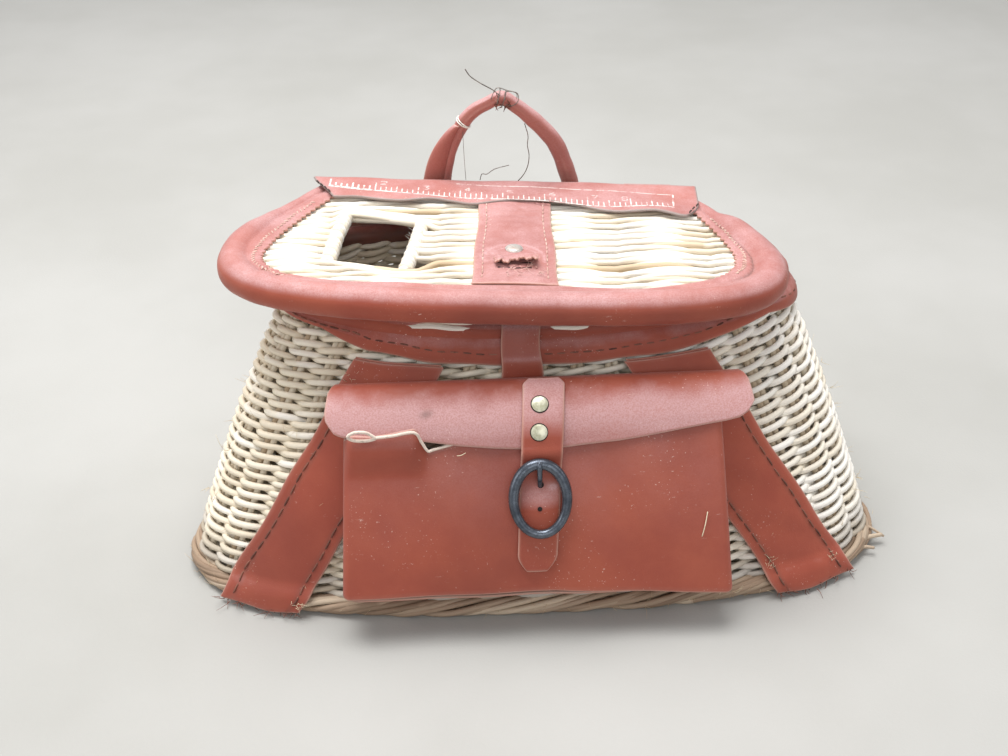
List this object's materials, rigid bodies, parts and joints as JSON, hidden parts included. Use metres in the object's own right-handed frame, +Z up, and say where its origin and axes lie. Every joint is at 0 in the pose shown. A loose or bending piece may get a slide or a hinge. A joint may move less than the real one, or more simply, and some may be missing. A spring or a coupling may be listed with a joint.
{
  "type": "fishing creel bag",
  "caption": "Woven wicker fishing creel with a hinged wicker lid, leather bindings, a fish hole, a carrying handle and a buckled leather pocket on its front.",
  "frame": {"origin": "middle of the underside of the basket's floor, on the surface it stands on", "axes": "+Z up, the front with the pocket faces -Y, +X to the right seen from the front"},
  "size_m": [0.3952, 0.2204, 0.2261],
  "materials": {
    "wicker": "matte peeled willow, cream to pale tan",
    "cane": "matte weathered brown cane",
    "leather": "satin red-brown leather, dusty and scuffed",
    "brass": "dull pale brass",
    "steel": "dark blue-grey enamelled wire, slightly worn",
    "thread": "matte off-white thread"
  },
  "bodies": {
    "basket": {"basket_wall": "wicker", "basket_floor": "wicker", "base_border": "cane", "rim_roll": "leather", "rim_band": "leather", "brace_left": "leather", "brace_right": "leather", "closure_strap": "leather", "pocket_body": "leather", "pocket_flap": "leather", "pocket_tab": "leather", "rivet_upper": "brass", "rivet_lower": "brass", "buckle_ring": "steel", "buckle_prong": "steel", "handle": "leather", "handle_split": "leather", "handle_tie": "thread", "handle_wire": "steel", "hinge_leather": "leather"},
    "lid": {"lid_panel": "wicker", "hole_bar_left": "cane", "hole_bar_right": "cane", "lid_rod": "cane", "lid_roll": "leather", "lid_band": "leather", "lid_band_under": "leather", "lid_strap": "leather", "lid_stud": "steel", "lid_loop": "leather", "ruler_strip": "leather"}
  },
  "joints": [
    {"name": "lid_hinge", "type": "hinge", "parent": "basket", "child": "lid", "pos_m": [-0.0091, 0.09598, 0.17003], "axis": [-0.9981, 0.0471, 0.0401], "range_deg": [0, 90]}
  ]
}
